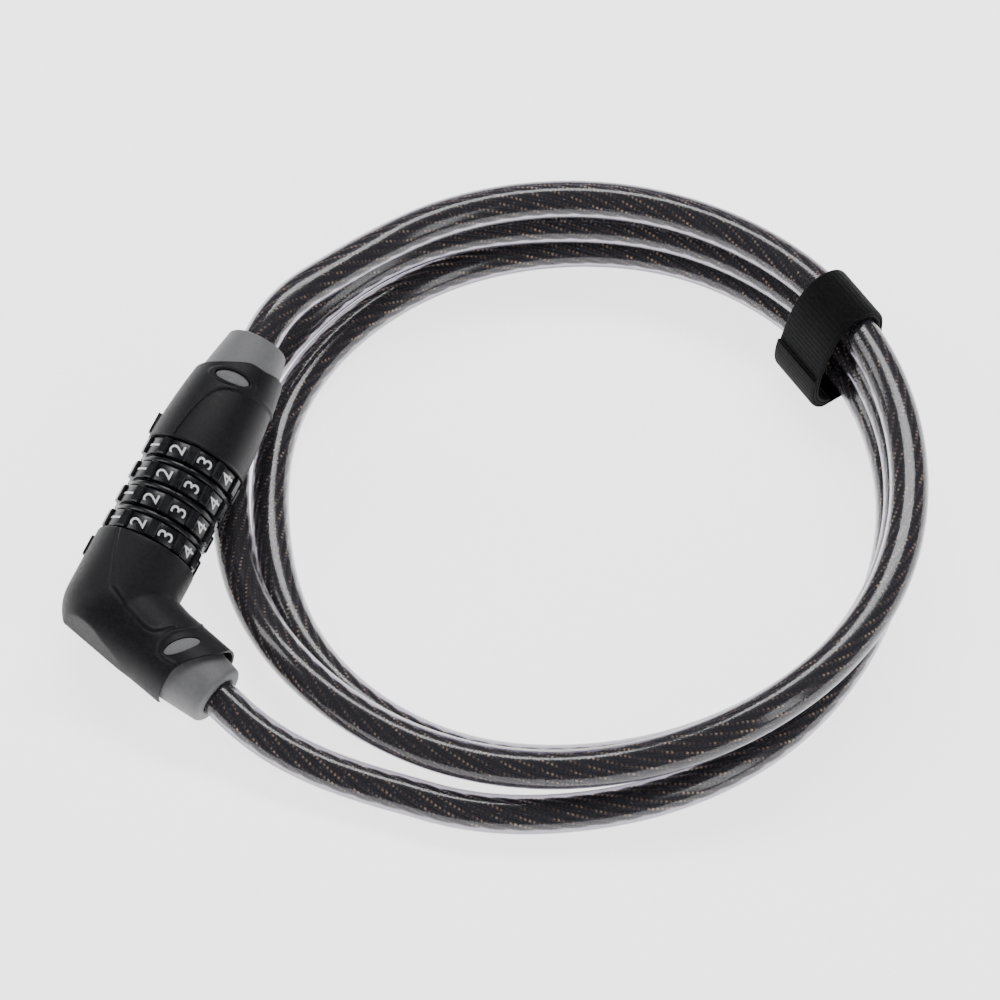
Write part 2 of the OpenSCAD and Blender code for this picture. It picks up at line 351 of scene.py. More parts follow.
def ramp(made, factor, stops):
    """A colour ramp with (position, colour) stops."""
    added = node(made, "ShaderNodeValToRGB", [("Fac", factor)])
    elements = added.color_ramp.elements
    while len(elements) < len(stops):
        elements.new(0.5)
    for element, (position, colour) in zip(elements, stops):
        element.position = position
        element.color = (*colour, 1)
    return added.outputs["Color"]


def mottled(made, dark, light, scale, bump=0.0, bump_scale=None, rough=None):
    """Two tones mixed by noise, with a fine bump and a little unevenness in the gloss."""
    place = node(made, "ShaderNodeTexCoord").outputs["Object"]
    noise = node(made, "ShaderNodeTexNoise", [("Vector", place)], Scale=scale, Detail=6.0)
    tones = ramp(made, noise.outputs["Fac"], [(0.35, dark), (0.65, light)])
    shader_link(made, "Base Color", tones)
    if rough:
        spread = node(made, "ShaderNodeMapRange", [("Value", noise.outputs["Fac"])],
                      From_Min=0.3, From_Max=0.7, To_Min=rough[0], To_Max=rough[1])
        shader_link(made, "Roughness", spread.outputs["Result"])
    if bump:
        grain = node(made, "ShaderNodeTexNoise", [("Vector", place)],
                     Scale=bump_scale or scale * 8, Detail=3.0)
        bent = node(made, "ShaderNodeBump", [("Height", grain.outputs["Fac"])],
                    Strength=bump, Distance=0.0002)
        shader_link(made, "Normal", bent.outputs["Normal"])
    return made


# %% [markdown]
# The jacket is clear PVC with a grey smoke in it. It bends light like glass, which is what makes
# the rope inside look half as thick again and leaves a paler band along both edges. Real strands
# lie inside it, so nothing has to be painted on the outside.

# %% Jacket and rope materials
clear_pvc = material("smoked_clear_pvc", (0.36, 0.34, 0.40), 0.17, Transmission_Weight=0.93,
                     IOR=1.5, Specular_IOR_Level=0.6)
rope_steel = material("oiled_steel_strand", (0.1, 0.085, 0.07), 0.4, metallic=0.7)
print("cable finishes ready")

# %% The rope's wires and their painted glints
def math_node(made, operation, first, second):
    """One number worked out from two others; each is a socket or a plain number."""
    added = node(made, "ShaderNodeMath", operation=operation)
    for socket, value in zip(added.inputs, (first, second)):
        if isinstance(value, (int, float)):
            socket.default_value = value
        else:
            added.id_data.links.new(value, socket)
    return added.outputs["Value"]


def wire_pattern(made):
    """Wire bumps on each dark strand, and painted glints: a golden highlight painted as thin broken
    lines along the top of each strand's crown.
    """
    along = node(made, "ShaderNodeUVMap")
    along.uv_map = "along"
    parts = node(made, "ShaderNodeSeparateXYZ", [("Vector", along.outputs["UV"])])
    across, length = parts.outputs["X"], parts.outputs["Y"]
    wire_pitch = 1.4 * MM
    slant = 7.0
    slanted = math_node(made, "ADD", math_node(made, "MULTIPLY", length, 2 * math.pi / wire_pitch),
                        math_node(made, "MULTIPLY", across, slant))
    wave = math_node(made, "SINE", slanted, 0.0)
    crown = node(made, "ShaderNodeMapRange", [("Value", across)],
                 From_Min=0.05, From_Max=0.2, To_Min=1.0, To_Max=0.0).outputs["Result"]
    lit = node(made, "ShaderNodeMapRange", [("Value", wave)],
               From_Min=-0.7, From_Max=0.5, To_Min=0.0, To_Max=1.0).outputs["Result"]
    place = node(made, "ShaderNodeTexCoord").outputs["Object"]
    # Noise breaks the painted glint into short dashes.
    glint_breakup = node(made, "ShaderNodeTexNoise", [("Vector", place)], Scale=260.0, Detail=3.0)
    kept = node(made, "ShaderNodeMapRange", [("Value", glint_breakup.outputs["Fac"])],
                From_Min=0.42, From_Max=0.6, To_Min=0.12, To_Max=1.0).outputs["Result"]
    # Painted glint: golden highlight colour painted on the strand crowns, near black between them.
    painted_glint = math_node(made, "MULTIPLY", math_node(made, "MULTIPLY", crown, lit), kept)
    shader_link(made, "Base Color", ramp(made, painted_glint, [
        (0.0, (0.008, 0.007, 0.008)), (0.5, (0.2, 0.14, 0.08)), (1.0, (0.9, 0.7, 0.42))]))
    bent = node(made, "ShaderNodeBump", [("Height", wave)], Strength=0.4, Distance=0.0002)
    shader_link(made, "Normal", bent.outputs["Normal"])


wire_pattern(rope_steel)
for piece in (cable_jacket, lead_jacket):
    piece.data.materials.append(clear_pvc)
for piece in (cable_rope, lead_rope):
    piece.data.materials.append(rope_steel)

# %% The cable and its lead join the frame
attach(cable_jacket, "lock_body")
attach(cable_rope, "lock_body")
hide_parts("cable")
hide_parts("cable_lead")
for piece in (lead_jacket, lead_rope):
    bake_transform(piece)
print("cable", len(cable_line), "points and lead", len(lead_line), "points")

# %% [markdown]
# The housings, sleeves and dial rings are turned shapes with something added. Each is drawn as
# a grid of points, round the axis one way and along an outline the other way, so that a groove,
# a step or a wavy edge is only a change of radius or of place at each grid point.

# %% Turned pieces
def grid_object(name, grid, closed_outline=True):
    """A mesh from grid[i][j], i round the axis and j along the outline."""
    around, along = grid.shape[:2]
    faces = []
    for i in range(around):
        n = (i + 1) % around
        for j in range(along if closed_outline else along - 1):
            m = (j + 1) % along
            faces.append((i * along + j, i * along + m, n * along + m, n * along + j))
    return mesh_object(name, grid.reshape(-1, 3), faces)


def round_axis(angles, ys, radii):
    """Points round the lock's Y axis, each angle measured from the top."""
    return np.stack(np.broadcast_arrays(radii * np.sin(angles), ys, radii * np.cos(angles)),
                    axis=-1)


def turned(name, outline, around=128):
    """Spins (y, radius) points about the lock's Y axis."""
    angles = np.arange(around) * 2 * math.pi / around
    ys, radii = np.array(outline, float).T
    return grid_object(name, round_axis(angles[:, None], ys, radii))


def ring_outline(start, width, side, middle=()):
    """A ring's outline from one side's points, each (distance in from its face, radius)."""
    far_side = [(start + width - inset, radius) for inset, radius in reversed(side)]
    return [(start + inset, radius) for inset, radius in side] + list(middle) + far_side


def face_out(made):
    """Merges doubles and points every face outwards."""
    work = bmesh.new()
    work.from_mesh(made.data)
    bmesh.ops.remove_doubles(work, verts=work.verts, dist=1e-5)
    bmesh.ops.recalc_face_normals(work, faces=work.faces)
    work.to_mesh(made.data)
    work.free()


def plain(made):
    """Turns modifiers into mesh."""
    graph = bpy.context.evaluated_depsgraph_get()
    flat = bpy.data.meshes.new_from_object(made.evaluated_get(graph))
    made.modifiers.clear()
    made.data = flat
    return made


def carve(made, *cutters):
    """Cuts other solids out of a piece and removes them."""
    for cutter in cutters:
        cut = made.modifiers.new("cut", "BOOLEAN")
        cut.operation = "DIFFERENCE"
        cut.solver = "EXACT"
        cut.object = cutter
    plain(made)
    for cutter in cutters:
        bpy.data.objects.remove(cutter)
    return made


def seat(made, body, slot_name, paint, *stands_for, placed=LOCK, crease=35):
    """Places a piece drawn in the lock's frame and joins it to its body."""
    made.data.transform(placed)
    made.data.set_sharp_from_angle(angle=math.radians(crease))
    made.data.materials.clear()
    made.data.materials.append(paint)
    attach(made, body)
    if stands_for:
        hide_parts(*stands_for)
    print(made.name, len(made.data.polygons), "faces")
    return made


# %% [markdown]
# The housings are moulded in a black plastic with a fine spark-eroded grain. The dials are the
# same black but smoother, the sleeves are a soft grey rubber, and the digits are filled with
# white paint.

# %% Plastic, rubber and paint
housing_black = mottled(material("grained_black_plastic", (0.007, 0.007, 0.008), 0.5,
                                 Specular_IOR_Level=0.25),
                        (0.0045, 0.004, 0.0055), (0.009, 0.0085, 0.011), 900, bump=0.35,
                        bump_scale=2600, rough=(0.46, 0.6))
dial_black = mottled(material("smooth_black_plastic", (0.007, 0.007, 0.009), 0.3,
                              Specular_IOR_Level=0.35),
                     (0.004, 0.004, 0.006), (0.009, 0.009, 0.012), 500, bump=0.12,
                     bump_scale=1500, rough=(0.24, 0.34))
sleeve_grey = mottled(material("soft_grey_rubber", (0.2, 0.2, 0.205), 0.6),
                      (0.15, 0.15, 0.155), (0.175, 0.175, 0.18), 700, bump=0.25,
                      bump_scale=2200, rough=(0.55, 0.7))
digit_white = mottled(material("white_paint", (0.85, 0.85, 0.85), 0.45),
                      (0.8, 0.8, 0.8), (0.9, 0.9, 0.9), 900)
print("plastics ready")

# %% [markdown]
# A dial is a ring with ten finger ribs. One rib is modelled once, with chamfered ends and a
# narrower top, and Geometry Nodes copy it round the ring, so that the number of ribs and the
# first angle are inputs that anyone can change.

# %% One rib and the tree that repeats it
def rib_mesh():
    foot, top, chamfer = 1.75, 1.25, 0.4
    low, high = DIGIT_R - 0.6, DIAL_R
    shoulder = high - 0.45
    half_angles = [(-foot, low), (-foot, shoulder), (-top, high), (top, high), (foot, shoulder),
                   (foot, low)]
    points = []
    for y, shrink in ((0.05, 0.35), (chamfer, 0), (DIAL_W - chamfer, 0), (DIAL_W - 0.05, 0.35)):
        for x, r in half_angles:
            reach = r - (shrink if r > low else 0)
            points.append((reach * math.sin(x / DIAL_R), y, reach * math.cos(x / DIAL_R)))
    faces = [tuple(reversed(range(6))), tuple(range(18, 24))]
    for i in range(3):
        for k in range(6):
            n = (k + 1) % 6
            faces.append((i * 6 + k, i * 6 + n, i * 6 + 6 + n, i * 6 + 6 + k))
    made = mesh_object("one_rib", points, faces, smooth=False)
    face_out(made)
    return made


def new_tree(name, **inputs):
    """An empty Geometry Nodes tree with one output, and the sockets of its inputs."""
    tree = bpy.data.node_groups.new(name, "GeometryNodeTree")
    for label, kind in inputs.items():
        tree.interface.new_socket(label.replace("_", " "), in_out="INPUT",
                                  socket_type="NodeSocket" + kind)
    tree.interface.new_socket("Geometry", in_out="OUTPUT", socket_type="NodeSocketGeometry")
    return tree, tree.nodes.new("NodeGroupInput").outputs


def painted(tree, geometry, finish):
    """Ends a tree: its copies become real mesh with one material."""
    real = node(tree, "GeometryNodeRealizeInstances", [(0, geometry)])
    paint = node(tree, "GeometryNodeSetMaterial",
                 [("Geometry", real.outputs[0]), ("Material", finish)])
    node(tree, "NodeGroupOutput", [(0, paint.outputs[0])])
    return tree


def run_tree(made, tree, **values):
    """Runs a tree on a piece, with values for the inputs named, and keeps the result as mesh."""
    added = made.modifiers.new(tree.name, "NODES")
    added.node_group = tree
    for item in tree.interface.items_tree:
        label = item.name.replace(" ", "_")
        if item.in_out == "INPUT" and label in values:
            added[item.identifier] = values[label]
    return plain(made)


def ring_tree(name):
    """Geometry Nodes: copies of one object round the Y axis, joined to the ring."""
    tree, given = new_tree(name, Ring="Geometry", Copied_piece="Object", Copies="Int",
                           First_angle="Float", Finish="Material")
    line = node(tree, "GeometryNodeMeshLine", [("Count", given["Copies"])], Offset=(0, 0, 0))
    index = node(tree, "GeometryNodeInputIndex").outputs[0]
    step = math_node(tree, "DIVIDE", 2 * math.pi, given["Copies"])
    angle = math_node(tree, "ADD", math_node(tree, "MULTIPLY", step, index), given["First angle"])
    spin = node(tree, "ShaderNodeCombineXYZ", [("Y", angle)])
    piece = node(tree, "GeometryNodeObjectInfo", [("Object", given["Copied piece"])])
    copies = node(tree, "GeometryNodeInstanceOnPoints", [
        ("Points", line.outputs["Mesh"]), ("Instance", piece.outputs["Geometry"]),
        ("Rotation", spin.outputs[0])])
    both = node(tree, "GeometryNodeJoinGeometry", [(0, given["Ring"]), (0, copies.outputs[0])])
    return painted(tree, both.outputs[0], given["Finish"])


one_rib = rib_mesh()
DIALS = 4
DIAL_BORE_R = 12.15
DIGITS = 10
DIGIT_TURN = 2 * math.pi / DIGITS
INDEX_ANGLE = math.radians(-10)
INDEX_DIGIT = 2


def dial_y(dial):
    return -STACK_HALF + dial * DIAL_PITCH


# %% The number rings
for dial in range(DIALS):
    start = dial_y(dial)
    ring = turned(f"dial_ring_{dial + 1}", ring_outline(start, DIAL_W, [
        (0, DIAL_BORE_R), (0, DIGIT_R - 0.35), (0.12, DIGIT_R - 0.1), (0.4, DIGIT_R),
    ], middle=[(start + DIAL_W / 2, DIGIT_R)]), around=160)
    face_out(ring)
    rib = bpy.data.objects.new("rib", one_rib.data.copy())
    rib.data.transform(Matrix.Translation((0, start, 0)))
    bpy.context.scene.collection.objects.link(rib)
    run_tree(ring, ring_tree("copies_round_" + ring.name), Copied_piece=rib, Copies=DIGITS,
             First_angle=INDEX_ANGLE + DIGIT_TURN / 2, Finish=dial_black)
    bpy.data.objects.remove(rib)
    seat(ring, f"dial_{dial + 1}", "dial_plastic", dial_black, f"number_ring_{dial + 1}",
         crease=28)
bpy.data.objects.remove(one_rib)

# %% [markdown]
# The digits are flat letters from Blender's own plain typeface, made into a mesh, cut into
# narrow strips so that they can bend, and wrapped round the ring. They read with their tops
# towards the lower digit, as on a dial that is turned upwards to count.

# %% The digits
DIGIT_SIZE = 7.2
STRIP = 0.4


def digit_points(character, size, dial, angle):
    """Points and faces of one digit, wrapped round a dial at that angle from the top."""
    text = bpy.data.curves.new("digit", "FONT")
    text.body = character
    text.size = size
    text.align_x = "CENTER"
    text.align_y = "CENTER"
    text.extrude = 0.05
    text.resolution_u = 5
    holder = bpy.data.objects.new("digit", text)
    bpy.context.scene.collection.objects.link(holder)
    graph = bpy.context.evaluated_depsgraph_get()
    flat = bpy.data.meshes.new_from_object(holder.evaluated_get(graph))
    bpy.data.objects.remove(holder)
    work = bmesh.new()
    work.from_mesh(flat)
    for k in range(-6, 7):
        parts = work.verts[:] + work.edges[:] + work.faces[:]
        bmesh.ops.bisect_plane(work, geom=parts, plane_co=(0, k * STRIP, 0), plane_no=(0, 1, 0))
    middle = dial_y(dial) + DIAL_W / 2
    points = []
    for vert in work.verts:
        turn = angle - vert.co.y / DIGIT_R
        reach = DIGIT_R + 0.02 + vert.co.z
        points.append((reach * math.sin(turn), middle + vert.co.x, reach * math.cos(turn)))
    faces = [tuple(v.index for v in f.verts) for f in work.faces]
    work.free()
    return points, faces


for dial in range(DIALS):
    points, faces = [], []
    for digit in range(DIGITS):
        angle = INDEX_ANGLE + (digit - INDEX_DIGIT) * DIGIT_TURN
        more_points, more_faces = digit_points(str(digit), DIGIT_SIZE, dial, angle)
        faces += [tuple(i + len(points) for i in face) for face in more_faces]
        points += more_points
    digits = mesh_object(f"digits_{dial + 1}", points, faces, smooth=False)
    seat(digits, f"dial_{dial + 1}", "dial_plastic", digit_white)

# %% [markdown]
# Between two dials there is a fixed spacer with a thin raised ring, which catches the light as
# a bright line in the dark groove.

# %% The spacers
SPACER_GAP = 0.25
SPACER_BORE_R = 12.2
for gap in range(DIALS - 1):
    start = dial_y(gap) + DIAL_W + SPACER_GAP
    spacer = turned(f"groove_ring_{gap + 1}", ring_outline(
        start, DIAL_PITCH - DIAL_W - 2 * SPACER_GAP,
        [(0, SPACER_BORE_R), (0, 13.9), (0.3, 14.1), (0.45, 14.75), (0.6, 14.85)]))
    face_out(spacer)
    seat(spacer, "lock_body", "dial_plastic", dial_black, f"spacer_{gap + 1}")

# %% [markdown]
# The plug housing tapers towards the cable. Its mouth is cut at a slant with a small wave, a
# tongue-shaped panel is sunk into its face, and an oval window shows the grey sleeve inside.

# %% Helpers for shaping a surface
def smooth_step(low, high, value):
    t = np.clip((value - low) / (high - low), 0, 1)
    return t * t * (3 - 2 * t)


def bump_at(value, centre, width):
    return np.exp(-((value - centre) / width) ** 2)


def oval_cutter(name, placed, centre_angle, centre_along, long_r, short_r, slant, r_in, r_out,
                axis_r):
    """A radial oval plug, as a tool for cutting a window in a round wall."""
    count = 48
    points = []
    for reach in (r_in, r_out):
        for k in range(count):
            turn = k * 2 * math.pi / count
            u, v = long_r * math.cos(turn), short_r * math.sin(turn)
            across = u * math.cos(slant) - v * math.sin(slant)
            along = u * math.sin(slant) + v * math.cos(slant)
            angle = centre_angle + across / axis_r
            points.append((reach * math.sin(angle), centre_along + along, reach * math.cos(angle)))
    faces = [tuple(reversed(range(count))), tuple(range(count, 2 * count))]
    faces += [(k, (k + 1) % count, count + (k + 1) % count, count + k) for k in range(count)]
    made = mesh_object(name, points, faces, smooth=False)
    made.data.transform(placed)
    face_out(made)
    return made


def oval_distance(angle, along, centre_angle, centre_along, long_r, short_r, slant, axis_r):
    """1 on the window's edge, less inside it and more outside."""
    across = (angle - centre_angle) * axis_r
    y = along - centre_along
    u = across * math.cos(slant) + y * math.sin(slant)
    v = -across * math.sin(slant) + y * math.cos(slant)
    return np.hypot(u / long_r, v / short_r)


# %% The plug housing
PLUG_WINDOW = dict(centre_angle=math.radians(5), centre_along=42.3, long_r=6.2, short_r=2.1,
                   slant=0.05, axis_r=14.5)


def plug_mouth(angle):
    """Where the black housing ends: a slanted cut with a low wave above the window."""
    return (47.8 + 3.6 * np.sin(angle - 0.1) + 0.9 * bump_at(angle, math.radians(18), 0.35)
            - 0.5 * bump_at(angle, math.radians(42), 0.3))


def plug_radius(y):
    u = np.clip((y - FACE_Y) / (PLUG_Y - FACE_Y), 0, 1.06)
    return BODY_R - (BODY_R - ARM_R + 0.5) * u**1.7


def side_turn(angle):
    """How far a place round the lock is turned towards its +X side, 90 degrees at most."""
    return math.pi / 2 - np.abs((angle - math.pi / 2 + math.pi) % (2 * math.pi) - math.pi)


def panel_edge(angle):
    """The sunk panel's upper edge: an arch that is the same on both sides of its middle."""
    rise = np.degrees(side_turn(angle)) + 24
    arch = 15.3 + 20.5 * (1 - np.exp(-rise / 8)) + 5 * (1 - np.exp(-rise / 45))
    return np.where(rise > 0, arch, 15.3)


plug_around, plug_along = 360, 150
FACE_EDGE = 0.35
PLUG_BORE_R = 12.6
BOOT_BORE_R = 11.4
angles = (np.arange(plug_around) / plug_around * 2 - 1) * math.pi
share = np.linspace(0, 1, plug_along)[None, :]
mouth = plug_mouth(angles)[:, None]
ys = FACE_Y + FACE_EDGE + share * (mouth - FACE_Y - FACE_EDGE)
turns = np.broadcast_to(angles[:, None], ys.shape)
panel = panel_edge(turns)
radii = plug_radius(ys)
sunk = smooth_step(-0.35, 0.35, panel - ys) * smooth_step(0, 1.2, ys - FACE_Y)
ridge = smooth_step(FACE_Y, FACE_Y + 2, panel) * bump_at(panel - ys, -0.6, 0.45)
radii = radii - 0.5 * sunk + 0.2 * ridge
ring_at = oval_distance(turns, ys, **PLUG_WINDOW)
radii = radii + 0.3 * bump_at(ring_at, 1.22, 0.16)
lip = smooth_step(0, 0.5, (mouth - ys))
radii = radii - 0.3 * (1 - lip)
outside = round_axis(turns, ys, radii)


def plug_rim(y, radius):
    return round_axis(angles, y, radius)[:, None, :]


flat_mouth = plug_mouth(angles)
end_r = plug_radius(flat_mouth)
grid = np.concatenate([
    plug_rim(42, BOOT_BORE_R), plug_rim(18.3, BOOT_BORE_R), plug_rim(18.3, PLUG_BORE_R),
    plug_rim(FACE_Y, PLUG_BORE_R), plug_rim(FACE_Y, BODY_R - FACE_EDGE), outside,
    plug_rim(flat_mouth + 0.05, end_r - 0.8), plug_rim(flat_mouth - 0.4, end_r - 1.1),
    plug_rim(42, 11.5),
], axis=1)
plug_shell = grid_object("plug_shell", grid)
face_out(plug_shell)
carve(plug_shell, oval_cutter("window_cutter", Matrix.Identity(4), r_in=12.9, r_out=18,
                              **PLUG_WINDOW))
seat(plug_shell, "plug", "body_plastic", housing_black, "plug_housing")


# %% The plug's sleeve
def sleeve_outline(start, end, start_r, end_r, bore):
    """A tapered sleeve with a rounded mouth, as (along, radius) points."""
    lip = 1.4
    edge = [(end - lip + lip * math.sin(t), end_r - lip + lip * math.cos(t))
            for t in np.linspace(0.15, math.pi / 2, 7)]
    slope = [(start + (end - lip - start) * k, start_r + (end_r - start_r) * k**1.15)
             for k in np.linspace(0, 0.97, 10)]
    return slope + edge + [(end, bore + 0.5), (end - 0.5, bore), (start, bore)]


SLEEVE = dict(end_r=10, bore=6.05)
plug_boot = turned("plug_boot", sleeve_outline(38, EXIT_Y, 13.5, **SLEEVE), around=160)
face_out(plug_boot)
seat(plug_boot, "plug", "sleeve_rubber", sleeve_grey, "plug_sleeve")


# %% [markdown]
# The elbow is three solids melted together: the body cylinder, a ball at the bend and the arm,
# which tapers towards the cable. A remesh turns them into one even skin, flat planes trim the
# outside of the bend, and a few passes of smoothing round the joints the way a mould would.

# %% The elbow's skin
BEND_POINT = Vector((0, ELBOW_Y, 0))
ARM_DIRECTION = Vector((math.sin(BEND), -math.cos(BEND), 0))
ARM_INNER = Vector((math.cos(BEND), math.sin(BEND), 0))
UP = Vector((0, 0, 1))


def cone_between(start, end, start_r, end_r):
    """A closed cone between two points of the lock's frame."""
    direction = end - start
    work = bmesh.new()
    bmesh.ops.create_cone(work, cap_ends=True, segments=96, radius1=start_r, radius2=end_r,
                          depth=direction.length)
    spin = direction.to_track_quat("Z", "Y").to_matrix().to_4x4()
    bmesh.ops.transform(work, verts=work.verts, matrix=Matrix.Translation((start + end) / 2) @ spin)
    return work


def joined(parts, name):
    """One object from several bmesh solids."""
    total = bpy.data.meshes.new(name)
    whole = bmesh.new()
    for work in parts:
        piece = bpy.data.meshes.new("piece")
        work.to_mesh(piece)
        work.free()
        whole.from_mesh(piece)
        bpy.data.meshes.remove(piece)
    whole.to_mesh(total)
    whole.free()
    made = bpy.data.objects.new(name, total)
    bpy.context.scene.collection.objects.link(made)
    return made


def remeshed(made, size):
    skin = made.modifiers.new("skin", "REMESH")
    skin.mode = "VOXEL"
    skin.voxel_size = size
    return plain(made)


def smoothed(made, passes):
    work = bmesh.new()
    work.from_mesh(made.data)
    for _ in range(passes):
        bmesh.ops.smooth_vert(work, verts=work.verts, factor=0.5, use_axis_x=True,
                              use_axis_y=True, use_axis_z=True)
    work.to_mesh(made.data)
    work.free()


def vertex_array(made, what="co"):
    flat = np.empty(len(made.data.vertices) * 3)
    made.data.vertices.foreach_get(what, flat)
    return flat.reshape(-1, 3)


def move_vertices(made, places):
    made.data.vertices.foreach_set("co", places.ravel())
    made.data.update()


ball = bmesh.new()
bmesh.ops.create_uvsphere(ball, u_segments=96, v_segments=64, radius=BODY_R)
bmesh.ops.translate(ball, verts=ball.verts, vec=BEND_POINT)
elbow_shell = joined([
    cone_between(Vector((0, -FACE_Y - 0.05, 0)), BEND_POINT, BODY_R, BODY_R),
    ball,
    cone_between(BEND_POINT, BEND_POINT + ARM_DIRECTION * 20, BODY_R - 0.4, ARM_R),
    cone_between(BEND_POINT + ARM_DIRECTION * 18, BEND_POINT + ARM_DIRECTION * 39, ARM_R + 0.2,
                 ARM_R - 0.1),
], "elbow_shell")
remeshed(elbow_shell, 0.4)

TRIMS = [
    ((-0.276, -0.961, 0.0), 14.2),
    ((-0.25, -0.872, -0.42), 12.1),
    ((-0.267, -0.928, 0.26), 14.0),
]
smoothed(elbow_shell, 6)
places = vertex_array(elbow_shell)
for normal, reach in TRIMS:
    normal = np.array(normal) / np.linalg.norm(normal)
    beyond = np.maximum(0, (places - np.array(BEND_POINT)) @ normal - reach)
    places = places - beyond[:, None] * normal
move_vertices(elbow_shell, places)
remeshed(elbow_shell, 0.33)
smoothed(elbow_shell, 4)
print("elbow skin", len(elbow_shell.data.polygons), "faces")


# %% [markdown]
# A fine groove runs from the dials over the bend and turns into a raised brow above the oval
# window. It is pressed into the skin by moving each point by how far it lies from that line.

# %% The groove, the brow and the trimmed ends
def on_body(angle, y):
    turn = math.radians(angle)
    return Vector((BODY_R * math.sin(turn), y, BODY_R * math.cos(turn)))


def on_arm(along, angle, reach):
    """A point on the arm: a length from the bend and a turn from the top towards the dials."""
    turn = math.radians(angle)
    return (BEND_POINT + ARM_DIRECTION * along + UP * reach * math.cos(turn)
            + ARM_INNER * reach * math.sin(turn))


GROOVE = (
    [on_body(a, y) for a, y in (
        (-29, -14.5), (-27, -17.2), (-22, -21.5), (-17, -25.2), (-11, -29.6), (-6, -33.0),
        (-1, -35.6))]
    + [on_arm(*p) for p in (
        (6.8, -1, 15.9), (10, -3, 15.3), (13, -4.5, 14.8), (16, -5, 14.3), (18.2, -2, 14.0),
        (19.6, 5, 13.8), (20.9, 16, 13.7), (21.6, 22, 13.6))]
)
BROW = [on_arm(along, angle, ARM_R) for along, angle in (
    (29.5, -16), (26.5, -19), (23.7, -18), (22.3, -8), (21.9, 3), (22.0, 14), (23.2, 24),
    (24.6, 34), (25.8, 46), (25.7, 58), (24.8, 70))]


def line_distance(points, corners):
    """How far each point lies from a line of short straight parts, and from which side."""
    best = np.full(len(points), 1e9)
    side = np.zeros(len(points))
    up = np.array(UP)
    for a, b in zip(corners[:-1], corners[1:]):
        a, b = np.array(a), np.array(b)
        run = b - a
        share = np.clip(((points - a) @ run) / (run @ run), 0, 1)
        gap = points - (a + share[:, None] * run)
        away = np.linalg.norm(gap, axis=1)
        nearer = away < best
        best = np.where(nearer, away, best)
        side = np.where(nearer, gap @ np.cross(up, run / np.linalg.norm(run)), side)
    return best, side


places = vertex_array(elbow_shell)
away, side = line_distance(places, GROOVE)
top_half = smooth_step(0, 3, places[:, 2])
groove = -0.34 * bump_at(away, 0, 0.45) + 0.16 * bump_at(away, 1.0, 0.6) * (side > 0)
brow_away, _ = line_distance(places, BROW)
brow = 0.42 * bump_at(brow_away, 0, 0.75)
pushed = top_half * (groove + brow)
move_vertices(elbow_shell, places + vertex_array(elbow_shell, "normal") * pushed[:, None])

ELBOW_WINDOW = dict(centre_angle=0.0, centre_along=0.0, long_r=6.3, short_r=2.2,
                    slant=math.radians(24), axis_r=ARM_R)


def to_arm(angle_from_top, along):
    """The matrix that puts a piece drawn round Y on the arm, turned and slid along. It also
    mirrors the piece, so its faces are pointed outwards after it has been moved."""
    base = Matrix((ARM_INNER, ARM_DIRECTION, UP)).transposed().to_4x4()
    return (Matrix.Translation(BEND_POINT + ARM_DIRECTION * along) @ base
            @ Matrix.Rotation(angle_from_top, 4, "Y"))


window_turn = to_arm(math.radians(10), 27.3)
window_tool = oval_cutter("window_cutter", window_turn, r_in=12.2, r_out=18, **ELBOW_WINDOW)


def arm_mouth(angle):
    """Where the black arm ends, as a length along the arm: low on the outside, high inside."""
    return 30.2 + 6.9 * smooth_step(math.radians(-30), math.radians(55), side_turn(angle))


def mouth_tool(name, edge, reach, far):
    """A thick curtain beyond a wavy edge, drawn round Y, that trims the end of a housing."""
    count = 180
    near_axis = 0.5
    turns = (np.arange(count) / count * 2 - 1) * math.pi
    corners = ((edge(turns), near_axis), (edge(turns), reach), (far, reach), (far, near_axis))
    return grid_object(name, np.stack([round_axis(turns, y, r) for y, r in corners], axis=1))


mouth = mouth_tool("mouth_cutter", arm_mouth, 22, 60)
mouth.data.transform(to_arm(0, 0))
face_out(mouth)
hollow = joined([cone_between(BEND_POINT + ARM_DIRECTION * 20, BEND_POINT + ARM_DIRECTION * 60,
                              12.5, 12.5)], "hollow_cutter")
bore = joined([cone_between(Vector((0, -10, 0)), Vector((0, ELBOW_Y + 6.5, 0)), 12.6, 11.4)],
              "bore_cutter")
carve(elbow_shell, mouth, hollow, window_tool)
carve(elbow_shell, bore)
seat(elbow_shell, "lock_body", "body_plastic", housing_black, "elbow_housing", crease=32)

# %% The elbow's sleeve
arm_boot = turned("arm_boot", sleeve_outline(21, ARM_END, 12.5, **SLEEVE), around=160)
arm_boot.data.transform(to_arm(0, 0))
face_out(arm_boot)
seat(arm_boot, "lock_body", "sleeve_rubber", sleeve_grey, "elbow_sleeve")

# %% [markdown]
# The grey ovals are pads of the same rubber that fill the windows to just below the edge.

# %% Window pads and index bars
def oval_pad(name, placed, window, reach):
    shrunk = dict(window, long_r=window["long_r"] - 0.05, short_r=window["short_r"] - 0.05)
    made = oval_cutter(name, placed, r_in=reach - 1.2, r_out=reach, **shrunk)
    swell = made.modifiers.new("edge", "BEVEL")
    swell.width = 0.3
    swell.segments = 3
    swell.limit_method = "ANGLE"
    return plain(made)


arm_pad = oval_pad("arm_pad", window_turn, ELBOW_WINDOW, 13.2)
seat(arm_pad, "lock_body", "sleeve_rubber", sleeve_grey)
plug_pad = oval_pad("plug_pad", Matrix.Identity(4), PLUG_WINDOW, 13.6)
seat(plug_pad, "plug", "sleeve_rubber", sleeve_grey)


